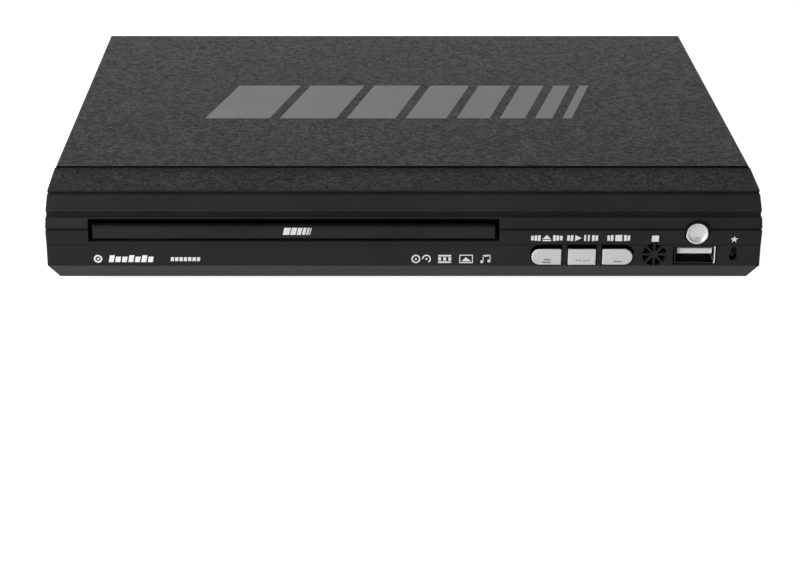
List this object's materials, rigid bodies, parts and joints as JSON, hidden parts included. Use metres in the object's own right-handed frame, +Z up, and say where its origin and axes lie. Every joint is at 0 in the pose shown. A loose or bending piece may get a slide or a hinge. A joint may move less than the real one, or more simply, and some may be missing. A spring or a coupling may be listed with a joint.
{
  "type": "dvd player",
  "caption": "Flat free-standing disc player with a motorised drawer, front keys, a USB socket and rear sockets, built as separate working pieces.",
  "frame": {"origin": "on the surface the player stands on, under the middle of its overall box", "axes": "+X to the right as seen from the front, the front faces -Y, +Z up"},
  "size_m": [0.23, 0.1972, 0.0332],
  "materials": {
    "textured_black_steel": "black powder coat with a fine grain",
    "zinc_steel": "zinc-plated sheet",
    "black_moulding": "black, satin with fine-grained deck",
    "black_rubber": "matte",
    "screw_steel": "zinc-plated",
    "grey_moulding": "dark grey, matte",
    "white_moulding": "natural white acetal",
    "silver_plastic": "silver-grey lacquer",
    "motor_steel": "drawn steel can",
    "circuit_green": "green laminate",
    "chip_black": "black epoxy",
    "connector_white": "ivory nylon",
    "ribbon_white": "flat cable",
    "transformer_yellow": "ferrite with yellow tape",
    "capacitor_sleeve": "dark blue sleeve",
    "aluminium_sheet": "bare",
    "fuse_glass": "clear tube with nickel caps",
    "phono_nickel": "nickel-plated",
    "liner_plastic": "coloured insulator",
    "socket_steel": "tin-plated shell",
    "brass_pin": "bare",
    "tongue_black": "black nylon",
    "receiver_dark": "infrared-pass resin",
    "lamp_red": "red diffused resin",
    "optics_zinc": "die-cast",
    "lens_glass": "coated lens",
    "magnet_nickel": "nickel-plated"
  },
  "bodies": {
    "case": {"top_cover": "textured_black_steel", "chassis_base": "zinc_steel", "front_panel": "black_moulding", "rear_panel": "zinc_steel", "rubber_feet": "black_rubber", "screws": "screw_steel", "loader_frame": "grey_moulding", "clamp_bridge": "zinc_steel", "gear_pins": "screw_steel", "loading_motor": "motor_steel", "drive_belt": "black_rubber", "damper_grommets": "black_rubber", "main_board": "circuit_green", "main_chips": "chip_black", "board_connectors": "connector_white", "front_ribbon": "ribbon_white", "loader_ribbon": "ribbon_white", "power_board": "circuit_green", "transformer": "transformer_yellow", "capacitors": "capacitor_sleeve", "heat_sink": "aluminium_sheet", "fuse": "fuse_glass", "phono_sockets": "phono_nickel", "phono_liners": "liner_plastic", "digital_socket": "socket_steel", "mains_inlet": "chip_black", "inlet_pins": "brass_pin", "front_board": "circuit_green", "tact_switches": "chip_black", "usb_socket": "socket_steel", "usb_tongue": "tongue_black", "ir_receiver": "receiver_dark", "status_lamp": "lamp_red"},
    "drawer": {"disc_tray": "black_moulding", "tray_door": "black_moulding"},
    "tray_gear": {"tray_gear": "white_moulding"},
    "belt_gear": {"belt_gear": "white_moulding"},
    "motor_pulley": {"motor_pulley": "white_moulding"},
    "cam_slider": {"cam_slider": "white_moulding"},
    "traverse": {"traverse_chassis": "grey_moulding", "spindle_motor": "motor_steel", "guide_rods": "screw_steel", "sled_motor": "motor_steel"},
    "turntable": {"spindle_rotor": "motor_steel", "turntable": "grey_moulding", "turntable_pad": "black_rubber"},
    "clamper": {"clamper": "white_moulding", "clamper_magnet": "magnet_nickel"},
    "pickup": {"pickup_body": "optics_zinc", "objective_lens": "lens_glass"},
    "sled_screw": {"sled_screw": "screw_steel"},
    "open_key": {"open_button": "silver_plastic", "open_plunger": "white_moulding"},
    "play_key": {"play_button": "silver_plastic", "play_plunger": "white_moulding"},
    "stop_key": {"stop_button": "silver_plastic", "stop_plunger": "white_moulding"},
    "power_key": {"power_button": "silver_plastic", "power_plunger": "white_moulding"}
  },
  "joints": [
    {"name": "tray_slide", "type": "slide", "parent": "case", "child": "drawer", "axis": [0, -1, 0], "range_m": [0, 0.13]},
    {"name": "tray_gear_spin", "type": "hinge", "parent": "case", "child": "tray_gear", "pos_m": [-0.0852, -0.0726, 0.012], "axis": [0, 0, 1], "range_deg": [-1, 932.06]},
    {"name": "belt_gear_spin", "type": "hinge", "parent": "case", "child": "belt_gear", "pos_m": [-0.0668, -0.0726, 0.012], "axis": [0, 0, 1], "range_deg": [-2129.13, 1]},
    {"name": "motor_pulley_spin", "type": "hinge", "parent": "case", "child": "motor_pulley", "pos_m": [-0.0288, -0.0656, 0.012], "axis": [0, 0, 1], "range_deg": [-8513.52, 1]},
    {"name": "cam_slide", "type": "slide", "parent": "case", "child": "cam_slider", "axis": [1, 0, 0], "range_m": [0, 0.016]},
    {"name": "traverse_tilt", "type": "hinge", "parent": "case", "child": "traverse", "pos_m": [-0.0353, 0.052, 0.014], "axis": [-1, 0, 0], "range_deg": [0, 3.82]},
    {"name": "turntable_spin", "type": "hinge", "parent": "traverse", "child": "turntable", "pos_m": [-0.0353, -0.02583, 0.0088], "axis": [0, -0.0667, 0.9978], "continuous": true},
    {"name": "clamper_spin", "type": "hinge", "parent": "case", "child": "clamper", "pos_m": [-0.0353, -0.026, 0.028], "axis": [0, 0, 1], "continuous": true},
    {"name": "sled_slide", "type": "slide", "parent": "traverse", "child": "pickup", "axis": [0, 0.9978, 0.0667], "range_m": [0, 0.0345]},
    {"name": "sled_screw_spin", "type": "hinge", "parent": "traverse", "child": "sled_screw", "pos_m": [-0.0013, 0.052, 0.014], "axis": [0, 0.9978, 0.0667], "range_deg": [-1, 4141]},
    {"name": "open_press", "type": "slide", "parent": "case", "child": "open_key", "axis": [0, 1, 0], "range_m": [0, 0.0008], "stiffness_N_per_m": 800, "springref_m": -0.0005},
    {"name": "play_press", "type": "slide", "parent": "case", "child": "play_key", "axis": [0, 1, 0], "range_m": [0, 0.0008], "stiffness_N_per_m": 800, "springref_m": -0.0005},
    {"name": "stop_press", "type": "slide", "parent": "case", "child": "stop_key", "axis": [0, 1, 0], "range_m": [0, 0.0008], "stiffness_N_per_m": 800, "springref_m": -0.0005},
    {"name": "power_press", "type": "slide", "parent": "case", "child": "power_key", "axis": [0, 1, 0], "range_m": [0, 0.0008], "stiffness_N_per_m": 800, "springref_m": -0.0005}
  ],
  "couplings": [
    {"joint": "tray_gear_spin", "follows": "tray_slide", "rad_per_m": 125},
    {"joint": "belt_gear_spin", "follows": "tray_slide", "rad_per_m": -285.71},
    {"joint": "motor_pulley_spin", "follows": "tray_slide", "rad_per_m": -1142.9},
    {"joint": "traverse_tilt", "follows": "cam_slide", "rad_per_m": 4.1698},
    {"joint": "sled_screw_spin", "follows": "sled_slide", "rad_per_m": 2094.4}
  ]
}
